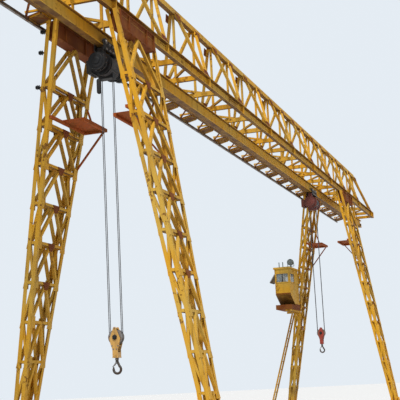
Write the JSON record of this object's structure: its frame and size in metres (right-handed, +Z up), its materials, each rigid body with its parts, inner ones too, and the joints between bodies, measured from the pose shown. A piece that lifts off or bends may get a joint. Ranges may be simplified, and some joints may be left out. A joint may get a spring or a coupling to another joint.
{
  "type": "lattice gantry crane",
  "caption": "Lattice truss girder on splayed lattice legs with a hoist rail, two electric rope hoists that travel and lift, an operator's cab and ground beams on wheels.",
  "frame": {"origin": "on the travel rails' level, midway between the four legs", "axes": "+X along the girder towards the cab's end, +Y in the travel direction towards the cable track's side, +Z up"},
  "size_m": [36.9, 6.18, 11.105],
  "materials": {
    "yellow_paint": "weathered yellow gloss paint",
    "rusty_primer": "brown primer, dull and rust stained",
    "deck_red": "red-brown primer plate",
    "bare_steel": "dull worn steel",
    "black_paint": "black oily paint",
    "hoist_red": "dark red paint",
    "wire_rope": "greased wire rope",
    "block_tan": "faded ochre paint",
    "block_red": "red paint",
    "hook_steel": "forged dark steel",
    "lamp_green": "dark green paint",
    "window_glass": "clear glass"
  },
  "bodies": {
    "frame": {"top_chord": "yellow_paint", "lower_chord_left": "yellow_paint", "lower_chord_right": "yellow_paint", "web_left": "yellow_paint", "web_right": "yellow_paint", "web_hangers": "yellow_paint", "cross_beams": "yellow_paint", "plan_bracing": "yellow_paint", "hoist_rail": "yellow_paint", "rail_clips": "yellow_paint", "cable_track": "bare_steel", "track_brackets": "yellow_paint", "saddle_near_left": "rusty_primer", "saddle_near_right": "rusty_primer", "saddle_far_left": "rusty_primer", "saddle_far_right": "rusty_primer", "leg_near_left": "yellow_paint", "leg_near_right": "yellow_paint", "leg_far_left": "yellow_paint", "leg_far_right": "yellow_paint", "platform_near_left": "deck_red", "platform_near_right": "deck_red", "platform_far_left": "deck_red", "platform_far_right": "deck_red", "ground_beam_near": "yellow_paint", "ground_beam_far": "yellow_paint", "wheels_near": "bare_steel", "wheels_far": "bare_steel", "cab_floor": "rusty_primer", "cab_walls": "yellow_paint", "cab_glass": "window_glass", "cab_roof": "yellow_paint", "cab_lamp": "lamp_green", "cab_brackets": "yellow_paint", "cab_ladder": "yellow_paint"},
    "near_carriage": {"near_trolley": "black_paint", "near_hoist": "black_paint", "near_ropes": "wire_rope"},
    "near_hook_block": {"near_block": "block_tan"},
    "near_hook_swivel": {"near_hook": "hook_steel"},
    "far_carriage": {"far_trolley": "black_paint", "far_hoist": "hoist_red", "far_ropes": "wire_rope"},
    "far_hook_block": {"far_block": "block_red"},
    "far_hook_swivel": {"far_hook": "hook_steel"}
  },
  "joints": [
    {"name": "near_travel", "type": "slide", "parent": "frame", "child": "near_carriage", "axis": [1, 0, 0], "range_m": [-6.3, 9.4]},
    {"name": "near_lift", "type": "slide", "parent": "near_carriage", "child": "near_hook_block", "axis": [0, 0, 1], "range_m": [-1, 4.4], "deforming": ["near_ropes"]},
    {"name": "near_swivel", "type": "hinge", "parent": "near_hook_block", "child": "near_hook_swivel", "pos_m": [-11.06, 0, 2.3], "axis": [0, 0, 1], "continuous": true},
    {"name": "far_travel", "type": "slide", "parent": "frame", "child": "far_carriage", "axis": [1, 0, 0], "range_m": [-6.6, 9.3]},
    {"name": "far_lift", "type": "slide", "parent": "far_carriage", "child": "far_hook_block", "axis": [0, 0, 1], "range_m": [-1.7, 3.7], "deforming": ["far_ropes"]},
    {"name": "far_swivel", "type": "hinge", "parent": "far_hook_block", "child": "far_hook_swivel", "pos_m": [8.16, 0, 3.03], "axis": [0, 0, 1], "continuous": true}
  ]
}
